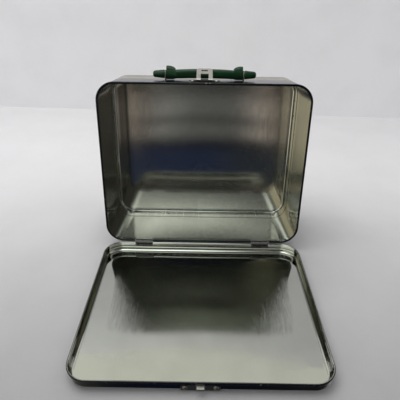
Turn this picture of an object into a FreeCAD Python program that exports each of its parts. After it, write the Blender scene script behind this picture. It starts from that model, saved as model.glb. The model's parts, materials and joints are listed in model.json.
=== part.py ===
import FreeCAD, Part
import math
import os

from FreeCAD import Vector

# A tinplate lunch box standing open, in millimetres.
# The pieces are drawn with the box upright and closed: X to the right, Y to the back, Z up, with the
# lid hinge's axis on the X axis. The body then leans back over the open lid, which lies on the floor.

# Driving dimensions of the box
box_width = 203.0
box_height = 165.0
body_depth = 76.0
lid_depth = 10.3
corner_radius = 18.0

# Sheet metal
sheet = 0.35
rim_gap = 0.3            # between the two rims when the lid is closed
rim_thickness = 2.2      # across the rolled rim
rim_length = 1.7         # from the rim's front to the step down to the wall
rim_proud = 0.9          # the rim stands this far outside the wall
rim_step = 0.8           # length of that step
rim_round = 0.98         # how nearly the rim's front is a full half round
body_hem = 5.0           # how far the folded edge reaches back inside the body
lid_hem = 2.8            # and inside the lid
step_bend = 0.5          # bend radii, at the middle of the sheet
lip_bend = 1.3
pan_bend = 2.3
back_lip = 3.6           # lip turned in behind the back panel
flange_length = 14.5     # back panel's flange along the walls
flange_clearance = 0.05
pan_edge = 10.0          # the pans' bent edges reach this far in, and a flat plate fills the rest

# Stakes that hold the back panel's flange
stake_spacing = 82.0
stake_from_back = 6.5
stake_ball = 1.4
stake_depth = 0.6

# Hinges
hinge_spacing = 124.0
hinge_length = 17.0
hinge_barrel_radius = 1.2
hinge_pin_radius = 0.6
hinge_leaf = 0.5
body_leaf_length = 13.0
lid_leaf_length = 7.8
knuckle_gap = 0.2
running_clearance = 0.05
notch_clearance = 0.5
pin_head = 0.4
pin_head_extra = 0.35    # the peened heads are this much larger in radius than their pin

# Hasp on the top wall
hasp_setback = 13.0      # pivot behind the rim
hasp_pivot_height = 2.1  # above the top wall
hasp_barrel_radius = 1.5
hasp_pin_radius = 0.7
hasp_thickness = 0.8
hasp_length = 20.0
hasp_width = 15.4
hasp_tongue = 7.0        # the base's middle knuckle, and the window round it
hasp_window_end = 11.4
hasp_slot_centre = 16.5
hasp_slot = (6.2, 3.2)
hasp_slot_corner = 0.8
hasp_corner = 2.4
plate_thickness = 0.8
plate_width = 29.5
hasp_base_length = 9.0
plate_corner = 1.8
rivet_spacing = 22.8
rivet_radius = 1.2
rivet_hole_clearance = 0.05
rivet_head_radius = 2.1
rivet_head_height = 1.2
rivet_tail_radius = 1.8
rivet_tail_height = 0.7

# Catch on the lid
catch_plate_length = 5.5
catch_hook_width = 5.4
catch_hook_thickness = 1.0
catch_hook_height = 3.9
catch_hook_lip = 0.7

# Handle and its wire loops
handle_setback = 34.5    # handle's axis behind the rim
handle_axis_height = 5.2  # above the top wall
loop_spacing = 77.0
loop_wire_radius = 0.6
loop_leg_spread = 4.0    # length of each clinched end
loop_bend = 1.0
loop_hole_clearance = 0.08
handle_clearance = 0.3
neck_radius = 2.5
neck_play = 0.35         # between the neck and its loop
knob_length = 11.5
knob_radius = 4.2        # beside the loop
knob_tip_radius = 3.0    # at the end
knob_edge = 0.8          # rounding beside the loop
knob_round = 2.2         # rounding of the end
guard_length = 9.2
guard_height = 7.9       # above the handle's axis
guard_crest = 2.0        # flat top of the guard
guard_bulge = 1.3        # how far its inner side swells
guard_half_depth = 3.0
grip_depth = 9.0
grip_round = 2.7
grip_overlap = 3.0       # the bar's ends lie this far inside the guards
grip_top_middle = 5.2    # all four are measured from the handle's axis
grip_top_end = 4.1
grip_bottom_middle = -3.6
grip_bottom_end = -4.3
backing_plate = (8.0, 13.0, 0.6)

# Places worked out from those sizes
wall_inset = rim_proud + sheet / 2
wall_inside = rim_proud + sheet
rim_front = rim_gap / 2
rim_bend = (rim_thickness - sheet) / 2 * rim_round
top_wall = box_height - rim_proud
top_inside = box_height - wall_inside
hinge_height = lid_depth + rim_gap / 2
back_face = rim_front + body_depth
lid_face = -rim_front - lid_depth
floor_bend = lip_bend + sheet / 2
handle_axis = Vector(0, handle_setback, top_wall + handle_axis_height)
hasp_axis = Vector(0, hasp_setback, top_wall + hasp_pivot_height)


def lean_angle():
    """Angle that brings the bent back edge down to the floor while the lid lies flat under the hinge."""
    run = back_face - floor_bend
    rise = rim_proud + floor_bend
    drop = hinge_height - floor_bend
    return math.degrees(math.atan2(rise, run) + math.asin(drop / math.hypot(run, rise)))


def hasp_rest_angle():
    """Angle at which the raised hasp leans back on the rounded top edge of the grip."""
    run = handle_setback - grip_depth / 2 + grip_round - hasp_setback
    rise = handle_axis_height + grip_top_middle - grip_round - hasp_pivot_height
    reach = grip_round + hasp_thickness / 2 + handle_clearance
    return math.degrees(math.atan2(rise, run) + math.asin(reach / math.hypot(run, rise)))


def sheet_section(points, bends):
    """Section of bent sheet: a line through (depth, inset) points, half the sheet thick on each side."""
    places = [Vector(0, depth, inset) for depth, inset in points]
    directions = [(b - a).normalize() for a, b in zip(places, places[1:])]
    sides = []
    for offset in (sheet / 2, -sheet / 2):
        normals = [Vector(0, -d.z, d.y) * offset for d in directions]
        edges = []
        start = places[0] + normals[0]
        for index, bend in enumerate(bends):
            corner = places[index + 1]
            before, after = directions[index], directions[index + 1]
            turn = before.getAngle(after)
            back_off = bend * math.tan(turn / 2)
            inwards = (after - before).normalize()
            centre = corner + inwards * (bend / math.cos(turn / 2))
            first = corner - before * back_off + normals[index]
            last = corner + after * back_off + normals[index + 1]
            middle = centre - inwards * (first - centre).Length
            edges.append(Part.LineSegment(start, first).toShape())
            edges.append(Part.Arc(first, middle, last).toShape())
            start = last
        end = places[-1] + normals[-1]
        edges.append(Part.LineSegment(start, end).toShape())
        sides.append((edges, places[0] + normals[0], end))
    (left, left_start, left_end), (right, right_start, right_end) = sides
    first_cap = Part.LineSegment(left_start, right_start).toShape()
    last_cap = Part.LineSegment(left_end, right_end).toShape()
    return Part.Face(Part.Wire(Part.__sortEdges__(left + right + [first_cap, last_cap])))


def carry_round(section):
    """Carry a section that stands on the bottom wall round all four walls and their rounded corners."""
    half_straight = box_width / 2 - corner_radius
    bottom = section.extrude(Vector(half_straight, 0, 0))
    turned = section.translated(Vector(half_straight, 0, 0))
    axis_point = Vector(half_straight, 0, corner_radius)
    corner = turned.revolve(axis_point, Vector(0, -1, 0), 90)
    upright = turned.rotated(axis_point, Vector(0, -1, 0), 90)
    side = upright.extrude(Vector(0, 0, box_height / 2 - corner_radius))
    quarter = bottom.multiFuse([corner, side])
    half = quarter.fuse(quarter.mirror(Vector(0, 0, 0), Vector(1, 0, 0)))
    whole = half.fuse(half.mirror(Vector(0, 0, box_height / 2), Vector(0, 0, 1)))
    return whole.removeSplitter()


def rounded_plate(width, height, radius, thickness):
    """Plate in the XY plane, centred, with rounded corners, from z = 0 up."""
    plate = Part.makeBox(width, height, thickness, Vector(-width / 2, -height / 2, 0))
    corners = [edge for edge in plate.Edges if edge.BoundBox.ZLength > thickness / 2]
    return plate.makeFillet(radius, corners)


def pan_floor(front_face):
    """Flat middle of a pan, one sheet thick behind front_face."""
    width = box_width - 2 * pan_edge
    height = box_height - 2 * pan_edge
    floor = rounded_plate(width, height, corner_radius - pan_edge, sheet)
    floor.rotate(Vector(0, 0, 0), Vector(1, 0, 0), 90)
    floor.translate(Vector(0, front_face + sheet, box_height / 2))
    return floor


def cylinder_along(radius, start, end):
    """Round bar between two points."""
    return Part.makeCylinder(radius, (end - start).Length, start, end - start)


def pair(shape):
    """A shape and its mirror image on the other side of the box."""
    return [shape, shape.mirror(Vector(0, 0, 0), Vector(1, 0, 0))]


def one_solid(shape):
    """The single solid of a fused or cut shape."""
    cleaned = shape.removeSplitter()
    assert len(cleaned.Solids) == 1, "a piece fell apart"
    return cleaned.Solids[0]


def rim_points(hem, facing):
    """Middle line of a rolled rim, from the hem's cut edge to the wall; facing is +1 for the body."""
    front = rim_front + sheet / 2
    inner = rim_thickness - sheet / 2
    outer = sheet / 2
    line = [(rim_front + hem, inner), (front, inner), (front, outer), (rim_front + rim_length, outer),
            (rim_front + rim_length + rim_step, wall_inset)]
    return [(facing * depth, inset) for depth, inset in line]


def stakes(layer):
    """Balls whose nested shells make the stakes; layer is the distance from the dent to the shell."""
    ball = stake_ball + layer
    depth = back_face - stake_from_back
    out = stake_ball - stake_depth - rim_proud
    half = stake_spacing / 2
    middle = box_height / 2
    places = []
    for shift in (-half, half):
        places += [Vector(shift, depth, -out), Vector(shift, depth, box_height + out)]
        places += [Vector(-box_width / 2 - out, depth, middle + shift),
                   Vector(box_width / 2 + out, depth, middle + shift)]
    return [Part.makeSphere(ball, place) for place in places]


def staked(shell, middle, inner, outer):
    """Press the stakes into a shell: its middle's inset, and its two faces' distances from the dents."""
    inside = Part.makeBox(box_width - 2 * middle, back_face, box_height - 2 * middle,
                          Vector(-box_width / 2 + middle, 0, middle))
    bumps = [ball.common(inside) for ball in stakes(outer)]
    return shell.multiFuse(bumps).cut(Part.makeCompound(stakes(inner)))


def hinge_notches(facing):
    """Room cut out of a rim for the two hinge barrels."""
    width = hinge_length + 2 * (pin_head + notch_clearance)
    rim_end = rim_front + rim_length + rim_step + step_bend
    hem = (body_hem if facing > 0 else lid_hem) + rim_front + notch_clearance
    cuts = []
    for centre in (-hinge_spacing / 2, hinge_spacing / 2):
        left = centre - width / 2
        through = Part.makeBox(width, rim_end, 2 * rim_thickness, Vector(left, 0, -rim_thickness))
        folded = Part.makeBox(width, hem, rim_thickness, Vector(left, 0, wall_inside))
        cuts += [through, folded]
    if facing < 0:
        cuts = [cut.mirror(Vector(0, 0, 0), Vector(0, 1, 0)) for cut in cuts]
    return cuts


def rivet_places(depth):
    """Where the two rivets of a plate on the top wall go through it."""
    return [Vector(side * rivet_spacing / 2, depth, top_wall) for side in (-1, 1)]


def rivet_holes(depth):
    """Holes for a pair of rivets through the wall and the plate on it."""
    reach = Vector(0, 0, wall_inside)
    radius = rivet_radius + rivet_hole_clearance
    return [cylinder_along(radius, place - reach, place + reach) for place in rivet_places(depth)]


def rivets(depth):
    """A pair of domed rivets with flat tails inside the wall."""
    head_ball = (rivet_head_radius ** 2 + rivet_head_height ** 2) / (2 * rivet_head_height)
    made = []
    for place in rivet_places(depth):
        seat = place + Vector(0, 0, plate_thickness)
        inside = place - Vector(0, 0, sheet)
        shank = cylinder_along(rivet_radius, inside, seat)
        tail = cylinder_along(rivet_tail_radius, inside - Vector(0, 0, rivet_tail_height), inside)
        ball = Part.makeSphere(head_ball, seat + Vector(0, 0, rivet_head_height - head_ball))
        above = cylinder_along(rivet_head_radius, seat, seat + Vector(0, 0, rivet_head_height))
        made.append(one_solid(shank.multiFuse([tail, ball.common(above)])))
    return Part.makeCompound(made)


def loop_leg_places():
    """Where the four legs of the handle's wire loops go through the top wall."""
    half = neck_radius + neck_play + loop_wire_radius
    return [Vector(side * loop_spacing / 2, handle_setback + end * half, top_wall)
            for side in (-1, 1) for end in (-1, 1)]


def loop_holes():
    """Holes for those legs, through the wall and the plate behind it."""
    reach = Vector(0, 0, wall_inside + backing_plate[2])
    radius = loop_wire_radius + loop_hole_clearance
    return [cylinder_along(radius, place - reach, place + reach) for place in loop_leg_places()]


def side_band():
    """The four walls: rolled and hemmed front rim, plain band, and a lip turned in at the back."""
    rear = back_face - sheet / 2
    line = rim_points(body_hem, 1) + [(rear, wall_inset), (rear, wall_inset + back_lip)]
    band = carry_round(sheet_section(line, [rim_bend, rim_bend, step_bend, step_bend, lip_bend]))
    band = staked(band, wall_inset, 0, sheet)
    openings = hinge_notches(1) + rivet_holes(hasp_rivet_depth()) + loop_holes()
    return one_solid(band.cut(Part.makeCompound(openings)))


def back_panel():
    """Shallow pan inside the back lip, with its flange reaching forward along the walls."""
    rear = back_face - sheet - sheet / 2
    inset = wall_inside + flange_clearance + sheet / 2
    line = [(rear - flange_length, inset), (rear, inset), (rear, pan_edge)]
    panel = carry_round(sheet_section(line, [pan_bend])).fuse(pan_floor(rear - sheet / 2))
    layer = sheet + flange_clearance
    return one_solid(staked(panel, inset, layer, layer + sheet))


def lid_pan():
    """The lid: rolled rim, low skirt and flat panel."""
    face = lid_face + sheet / 2
    line = rim_points(lid_hem, -1) + [(face, wall_inset), (face, pan_edge)]
    pan = carry_round(sheet_section(line, [rim_bend, rim_bend, step_bend, step_bend, pan_bend]))
    pan = pan.fuse(pan_floor(lid_face))
    openings = hinge_notches(-1) + rivet_holes(catch_rivet_depth())
    return one_solid(pan.cut(Part.makeCompound(openings)))


def knuckle_spans(facing):
    """Stretches of the hinge barrel, from its middle, of one leaf; the lid has the middle third."""
    half_length = hinge_length / 2
    half_middle = half_length / 3
    half_gap = knuckle_gap / 2
    if facing < 0:
        return [(half_gap - half_middle, half_middle - half_gap)]
    return [(-half_length, -half_middle - half_gap), (half_middle + half_gap, half_length)]


def hinge_leaf_piece(facing, length):
    """Hinge leaf on the wall's outside, with its knuckles round the hinge axis; made at x = 0."""
    top = rim_proud
    clear = hinge_barrel_radius + notch_clearance
    plate = rounded_plate(hinge_length, length - clear, plate_corner, hinge_leaf)
    plate.translate(Vector(0, clear + (length - clear) / 2, top - hinge_leaf))
    pieces = []
    for start, end in knuckle_spans(facing):
        pieces.append(cylinder_along(hinge_barrel_radius, Vector(start, 0, 0), Vector(end, 0, 0)))
        strap = Vector(start, 0, top - hinge_leaf)
        pieces.append(Part.makeBox(end - start, clear + plate_corner, hinge_leaf, strap))
    bore = cylinder_along(hinge_pin_radius + running_clearance, Vector(-hinge_length, 0, 0),
                          Vector(hinge_length, 0, 0))
    leaf = plate.multiFuse(pieces).cut(bore)
    if facing < 0:
        leaf = leaf.mirror(Vector(0, 0, 0), Vector(0, 1, 0))
    return one_solid(leaf)


def headed_pin(radius, half_length):
    """Pin along X with a peened head on each end."""
    end = Vector(half_length, 0, 0)
    pin = cylinder_along(radius, -end, end)
    head = cylinder_along(radius + pin_head_extra, end, end + Vector(pin_head, 0, 0))
    return one_solid(pin.multiFuse(pair(head)))


def hasp_base_start():
    """Front edge of the base plate, clear of the hasp's turning knuckles."""
    return hasp_setback + hasp_barrel_radius + handle_clearance


def hasp_rivet_depth():
    """Row of the hasp base's rivets."""
    return hasp_base_start() + hasp_base_length / 2


def catch_rivet_depth():
    """Row of the catch plate's rivets, in the middle of the lid's skirt."""
    flat_start = rim_front + rim_length + rim_step + step_bend
    return -flat_start - catch_plate_length / 2


def hasp_base():
    """Plate on the top wall with a tongue rolled round the hasp's pin."""
    plate = rounded_plate(plate_width, hasp_base_length, plate_corner, plate_thickness)
    plate.translate(Vector(0, hasp_rivet_depth(), top_wall))
    tongue = Part.makeBox(hasp_tongue, hasp_base_start() + plate_corner - hasp_setback, plate_thickness,
                          Vector(-hasp_tongue / 2, hasp_setback, top_wall))
    half = Vector(hasp_tongue / 2, 0, 0)
    barrel = cylinder_along(hasp_barrel_radius, hasp_axis - half, hasp_axis + half)
    bore = cylinder_along(hasp_pin_radius + running_clearance, hasp_axis - half * 2, hasp_axis + half * 2)
    holes = [bore] + rivet_holes(hasp_rivet_depth())
    return one_solid(plate.multiFuse([tongue, barrel]).cut(Part.makeCompound(holes)))


def hasp():
    """Swinging plate: two legs with knuckles, a window between them, and the slot for the hook."""
    plate = rounded_plate(hasp_width, hasp_length * 2, hasp_corner, hasp_thickness)
    plate.translate(Vector(0, 0, -hasp_thickness / 2))
    behind = Part.makeBox(hasp_width, hasp_length, hasp_thickness,
                          Vector(-hasp_width / 2, -hasp_length, -hasp_thickness / 2))
    window_width = hasp_tongue + 2 * handle_clearance
    half = Vector(hasp_width / 2, 0, 0)
    barrel = cylinder_along(hasp_barrel_radius, -half, half)
    window = Part.makeBox(window_width, hasp_window_end + hasp_barrel_radius, 4 * hasp_barrel_radius,
                          Vector(-window_width / 2, -hasp_barrel_radius, -2 * hasp_barrel_radius))
    slot = rounded_plate(hasp_slot[0], hasp_slot[1], hasp_slot_corner, hasp_thickness)
    slot.translate(Vector(0, hasp_slot_centre, -hasp_thickness / 2))
    bore = cylinder_along(hasp_pin_radius + running_clearance, half * -2, half * 2)
    flat = plate.cut(behind).fuse(barrel).cut(Part.makeCompound([window, slot, bore]))
    flat.rotate(Vector(0, 0, 0), Vector(1, 0, 0), hasp_rest_angle())
    flat.translate(hasp_axis)
    return one_solid(flat)


def catch_plate():
    """Plate on the lid's skirt with a hook that stands up through the closed hasp's slot."""
    plate = rounded_plate(plate_width, catch_plate_length, plate_corner, plate_thickness)
    plate.translate(Vector(0, catch_rivet_depth(), top_wall))
    left = -catch_hook_width / 2
    front = hasp_setback - hasp_slot_centre - catch_hook_thickness / 2
    post = Part.makeBox(catch_hook_width, catch_hook_thickness, catch_hook_height,
                        Vector(left, front, top_wall))
    lip_height = top_wall + catch_hook_height - catch_hook_thickness
    lip = Part.makeBox(catch_hook_width, catch_hook_lip, catch_hook_thickness,
                       Vector(left, front - catch_hook_lip, lip_height))
    return one_solid(plate.multiFuse([post, lip]).cut(Part.makeCompound(rivet_holes(catch_rivet_depth()))))


def handle_loop():
    """Wire staple over the handle's neck, its legs clinched under the backing plate; made at x = 0."""
    arch = neck_radius + neck_play + loop_wire_radius
    bottom = top_inside - backing_plate[2] - loop_bend
    crown = handle_axis + Vector(0, 0, arch)
    edges = [Part.Arc(handle_axis - Vector(0, arch, 0), crown, handle_axis + Vector(0, arch, 0)).toShape()]
    slope = loop_bend * math.sin(math.pi / 4)
    for end in (-1, 1):
        leg = handle_axis + Vector(0, end * arch, 0)
        bend_top = Vector(0, leg.y, bottom + loop_bend)
        centre = bend_top + Vector(0, end * loop_bend, 0)
        bend_end = centre - Vector(0, 0, loop_bend)
        edges.append(Part.LineSegment(leg, bend_top).toShape())
        edges.append(Part.Arc(bend_top, centre + Vector(0, -end * slope, -slope), bend_end).toShape())
        edges.append(Part.LineSegment(bend_end, bend_end + Vector(0, end * loop_leg_spread, 0)).toShape())
    path = Part.Wire(Part.__sortEdges__(edges))
    start = path.OrderedVertexes[0].Point
    ring = Part.Wire(Part.makeCircle(loop_wire_radius, start, Vector(0, 1, 0)))
    return one_solid(path.makePipeShell([ring], True, True))


def handle_backing_plate():
    """Plate under the top wall that spreads the pull of a wire loop; at the right-hand loop."""
    width, length, thickness = backing_plate
    plate = rounded_plate(width, length, plate_corner, thickness)
    plate.translate(Vector(loop_spacing / 2, handle_setback, top_inside - thickness))
    return one_solid(plate.cut(Part.makeCompound(loop_holes())))


def grip_bar(half_length):
    """Arched bar of the handle with its long edges rounded."""
    def arc(end_height, middle_height):
        return Part.Arc(Vector(-half_length, 0, end_height), Vector(0, 0, middle_height),
                        Vector(half_length, 0, end_height)).toShape()

    def end_line(side):
        return Part.LineSegment(Vector(side * half_length, 0, grip_bottom_end),
                                Vector(side * half_length, 0, grip_top_end)).toShape()

    top = arc(grip_top_end, grip_top_middle)
    bottom = arc(grip_bottom_end, grip_bottom_middle)
    face = Part.Face(Part.Wire(Part.__sortEdges__([top, bottom, end_line(-1), end_line(1)])))
    face.translate(Vector(0, -grip_depth / 2, 0))
    bar = face.extrude(Vector(0, grip_depth, 0))
    long_edges = [edge for edge in bar.Edges if edge.Length > half_length]
    return bar.makeFillet(grip_round, long_edges)


def finger_guard(outer, inner, foot_radius):
    """Fin on a round collar: its outer side is straight, and its inner side falls in a curve to the bar."""
    top = Vector(outer, 0, guard_height)
    tip = Vector(outer - guard_crest, 0, guard_height)
    foot = [Vector(outer, 0, -foot_radius), Vector(inner, 0, -foot_radius)]
    shoulder = Vector(inner, 0, grip_top_end)
    belly = (tip + shoulder) * 0.5 + Vector(guard_bulge, 0, guard_bulge)
    corners = [tip, top] + foot + [shoulder]
    sides = [Part.LineSegment(a, b).toShape() for a, b in zip(corners, corners[1:])]
    outline = Part.Wire(Part.__sortEdges__(sides + [Part.Arc(tip, belly, shoulder).toShape()]))
    outline.translate(Vector(0, -grip_depth, 0))
    front = Part.Face(outline).extrude(Vector(0, 2 * grip_depth, 0))
    collar = cylinder_along(foot_radius, Vector(inner, 0, 0), Vector(outer, 0, 0))
    straight = guard_height - guard_half_depth
    fin = Part.makeBox(guard_length, 2 * guard_half_depth, straight, Vector(inner, -guard_half_depth, 0))
    crown = cylinder_along(guard_half_depth, Vector(inner, 0, straight), Vector(outer, 0, straight))
    return front.common(collar.multiFuse([fin, crown]))


def end_knob(start):
    """Knob beside a loop, thinner towards its rounded end."""
    knob = Part.makeCone(knob_radius, knob_tip_radius, knob_length, Vector(start, 0, 0), Vector(1, 0, 0))
    for place, rounding in ((start, knob_edge), (start + knob_length, knob_round)):
        rims = [edge for edge in knob.Edges if isinstance(edge.Curve, Part.Circle)
                and abs(edge.CenterOfMass.x - place) < knob_edge / 10]
        knob = knob.makeFillet(rounding, rims)
    return knob


def handle():
    """Moulded grip: bar, finger guards, necks for the wire loops and rounded end knobs."""
    gap = loop_wire_radius + handle_clearance
    guard_outer = loop_spacing / 2 - gap
    guard_inner = guard_outer - guard_length
    knob_start = loop_spacing / 2 + gap
    foot_radius = handle_axis_height - handle_clearance
    knob = end_knob(knob_start)
    neck_end = Vector(knob_start + knob_edge, 0, 0)
    neck = cylinder_along(neck_radius, Vector(guard_outer - gap, 0, 0), neck_end)
    ends = []
    for piece in (finger_guard(guard_outer, guard_inner, foot_radius), neck, knob):
        ends += pair(piece)
    grip = one_solid(grip_bar(guard_inner + grip_overlap).multiFuse(ends))
    grip.translate(handle_axis)
    return grip


def moved_to(shape, side, spacing):
    """Copy of a piece made at x = 0, moved to the left or the right of a pair."""
    return shape.translated(Vector(side * spacing / 2, 0, 0))


def body_pieces():
    """Everything that leans back with the body."""
    pieces = {"side_band": side_band(), "back_panel": back_panel(), "hasp_base": hasp_base(),
              "hasp_rivets": rivets(hasp_rivet_depth()), "hasp": hasp(), "handle": handle()}
    pieces["hasp_pin"] = headed_pin(hasp_pin_radius, hasp_width / 2 + knuckle_gap).translated(hasp_axis)
    right_plate, left_plate = pair(handle_backing_plate())
    pieces["handle_backing_plate_left"] = left_plate
    pieces["handle_backing_plate_right"] = right_plate
    leaf = hinge_leaf_piece(1, body_leaf_length)
    pin = headed_pin(hinge_pin_radius, hinge_length / 2 + knuckle_gap / 2)
    loop = handle_loop()
    for name, side in (("left", -1), ("right", 1)):
        pieces["body_hinge_leaf_" + name] = moved_to(leaf, side, hinge_spacing)
        pieces["hinge_pin_" + name] = moved_to(pin, side, hinge_spacing)
        pieces["handle_loop_" + name] = moved_to(loop, side, loop_spacing)
    return pieces


def lid_pieces():
    """Everything that turns with the lid."""
    pieces = {"lid_pan": lid_pan(), "catch_plate": catch_plate()}
    pieces["catch_rivets"] = rivets(catch_rivet_depth())
    leaf = hinge_leaf_piece(-1, lid_leaf_length)
    for name, side in (("left", -1), ("right", 1)):
        pieces["lid_hinge_leaf_" + name] = moved_to(leaf, side, hinge_spacing)
    return pieces


def stand_open(pieces, turn):
    """Turn pieces about the hinge axis and lift that axis to its height above the floor."""
    placed = {}
    for name, shape in pieces.items():
        turned = shape.rotated(Vector(0, 0, 0), Vector(1, 0, 0), turn)
        placed[name] = turned.translated(Vector(0, 0, hinge_height))
    return placed


def main():
    """Build every piece, stand the box open over the origin and write one file for each piece."""
    os.makedirs("parts", exist_ok=True)
    placed = stand_open(body_pieces(), -lean_angle())
    placed.update(stand_open(lid_pieces(), 90))
    box = Part.makeCompound(list(placed.values())).optimalBoundingBox(False, False)
    shift = Vector(0, -(box.YMin + box.YMax) / 2, 0)
    for name, shape in placed.items():
        shape.translated(shift).exportStep("parts/" + name + ".step")
    lean = FreeCAD.Rotation(Vector(1, 0, 0), -lean_angle())
    print("lean", lean_angle(), "hasp rest angle", hasp_rest_angle())
    print("size", box.XLength, box.YLength, box.ZLength, "lowest", box.ZMin)
    for name, place in (("hinge", Vector(0, 0, 0)), ("hasp", hasp_axis), ("handle", handle_axis)):
        print(name, "axis at", lean.multVec(place) + Vector(0, 0, hinge_height) + shift)


main()
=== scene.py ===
import json
import math

import bmesh
import bpy
import numpy as np
from bpy.props import FloatProperty, FloatVectorProperty, PointerProperty
from mathutils import Matrix


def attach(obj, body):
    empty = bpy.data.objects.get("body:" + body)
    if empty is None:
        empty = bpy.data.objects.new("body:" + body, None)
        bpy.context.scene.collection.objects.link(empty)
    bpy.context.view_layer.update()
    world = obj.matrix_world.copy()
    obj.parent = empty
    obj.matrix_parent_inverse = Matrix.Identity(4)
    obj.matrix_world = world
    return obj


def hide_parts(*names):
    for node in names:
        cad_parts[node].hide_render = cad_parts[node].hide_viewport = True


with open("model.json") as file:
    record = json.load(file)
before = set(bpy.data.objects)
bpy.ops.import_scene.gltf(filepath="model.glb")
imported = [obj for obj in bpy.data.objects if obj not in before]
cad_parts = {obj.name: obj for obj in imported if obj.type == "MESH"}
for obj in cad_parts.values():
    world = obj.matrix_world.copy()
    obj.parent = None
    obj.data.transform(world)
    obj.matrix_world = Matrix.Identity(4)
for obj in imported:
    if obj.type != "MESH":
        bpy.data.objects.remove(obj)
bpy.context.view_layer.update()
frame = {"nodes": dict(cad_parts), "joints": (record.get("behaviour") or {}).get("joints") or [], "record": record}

bl_info = {
    "name": "Metal lunch box",
    "version": (1, 0, 0),
    "blender": (4, 5, 0),
    "location": "3D View > Sidebar > Lunch box",
    "description": "Builds the tinplate shells, the grip, the finishes and the stage of an open lunch box",
    "category": "Object",
}

joints = {joint["name"]: joint for joint in frame["joints"]}
hinge_place = np.array(joints["lid_hinge"]["pos_m"])
handle_place = np.array(joints["handle_swing"]["pos_m"])
hasp_place = np.array(joints["hasp_pivot"]["pos_m"])
# The lid shuts after a quarter turn and the lean of the body
body_lean = math.radians(joints["lid_hinge"]["range_deg"][1] - 90)
lid_turn = math.pi / 2
room_pale = (0.60, 0.60, 0.60)


def length(name, description, default):
    """A length in metres that a user may change."""
    return FloatProperty(name=name, description=description, default=default, unit="LENGTH", precision=5)


def share(name, description, default):
    """A plain number that a user may change."""
    return FloatProperty(name=name, description=description, default=default, precision=3)


def colour(name, description, default):
    """A linear colour that a user may change."""
    return FloatVectorProperty(name=name, description=description, default=default,
                               subtype="COLOR", min=0, max=1)


def turn(name, description, degrees):
    """An angle that a user may change."""
    return FloatProperty(name=name, description=description, default=math.radians(degrees), subtype="ANGLE")


class ShellSizes(bpy.types.PropertyGroup):
    """Sizes of the tinplate body and lid."""

    width: length("Width", "Outside width of the rims", 0.203)
    height: length("Height", "Outside height of the rims", 0.165)
    corner: length("Corner radius", "Radius of the rims' corners", 0.018)
    body_depth: length("Body depth", "From the body's rim to its back", 0.076)
    lid_depth: length("Lid depth", "From the lid's rim to its face", 0.0103)
    sheet: length("Sheet", "Thickness of the tinplate", 0.00035)
    rim_gap: length("Rim gap", "Between the two rims when the lid is shut", 0.0003)
    rim_thickness: length("Rim thickness", "Across the rolled rim", 0.0022)
    rim_length: length("Rim length", "From the rim's front to the step down to the wall", 0.0017)
    rim_proud: length("Rim stands proud", "Height of that step", 0.0009)
    rim_step: length("Step length", "Length of that step", 0.0008)
    body_hem: length("Body hem", "Reach of the folded edge inside the body", 0.005)
    lid_hem: length("Lid hem", "Reach of the folded edge inside the lid", 0.0028)
    step_bend: length("Step bend", "Bend radius at the step", 0.0005)
    lip_bend: length("Lip bend", "Bend radius at the back lip", 0.0013)
    pan_bend: length("Pan bend", "Bend radius round the back panel", 0.0023)
    lid_bend: length("Lid bend", "Bend radius round the lid's panel", 0.0028)
    lid_rim: length("Lid rim", "Across the lid's flat-hemmed rim", 0.0016)
    back_lip: length("Back lip", "Lip turned in behind the back panel", 0.0036)
    flange: length("Flange", "Back panel's flange along the walls", 0.0145)
    clearance: length("Flange clearance", "Between the flange and the wall", 0.00005)
    pan_edge: length("Pan edge", "Where a panel's bowed middle begins", 0.010)
    stake_spacing: length("Stake spacing", "Between the two stakes of a wall", 0.082)
    stake_back: length("Stake from back", "From the body's back to the stakes", 0.0065)
    stake_radius: length("Stake radius", "Radius of a stake's dent", 0.0016)
    stake_depth: length("Stake depth", "Depth of a stake's dent", 0.0006)
    hinge_spacing: length("Hinge spacing", "Between the middles of the two hinges", 0.124)
    notch_width: length("Notch width", "Rim cut away round a hinge", 0.0188)
    notch_depth: length("Notch depth", "How far that cut goes back", 0.00315)
    lid_bow: length("Lid bow", "How far the lid's panel bulges inwards", 0.0010)
    back_bow: length("Back bow", "How far the back panel bulges inwards, below 0 outwards", -0.0003)


class GripSizes(bpy.types.PropertyGroup):
    """Sizes of the moulded handle, from its axis."""

    loop_spacing: length("Loop spacing", "Between the two wire loops", 0.077)
    loop_room: length("Loop room", "From a loop's middle to the guard or the knob", 0.0009)
    guard_length: length("Guard length", "Finger guard along the handle", 0.0092)
    guard_height: length("Guard height", "Top of the finger guard", 0.00789)
    guard_crest: length("Guard crest", "Flat top of the guard", 0.002)
    guard_taper: share("Guard taper", "How much thinner the guard is at its top", 0.36)
    foot: length("Foot", "Collar below the guard", 0.0049)
    bar_depth: length("Bar depth", "Bar from front to back", 0.009)
    top_middle: length("Top, middle", "Top of the bar in its middle", 0.0052)
    top_end: length("Top, end", "Top of the bar at the guards", 0.0041)
    bottom_middle: length("Bottom, middle", "Underside of the bar in its middle", -0.0036)
    bottom_end: length("Bottom, end", "Underside of the bar at the guards", -0.0043)
    neck: length("Neck", "Radius of the neck in the loop", 0.0025)
    knob: length("Knob", "Radius of the end knob beside the loop", 0.0042)
    knob_tip: length("Knob tip", "Radius of the knob at its end", 0.003)
    knob_length: length("Knob length", "Length of the end knob", 0.0115)
    knob_edge: length("Knob edge", "Rounding of the knob beside the loop", 0.0008)
    knob_round: length("Knob round", "Rounding of the knob's end", 0.0022)
    edge_round: length("Edge round", "Radius of the guard's outer edge", 0.0006)


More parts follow.
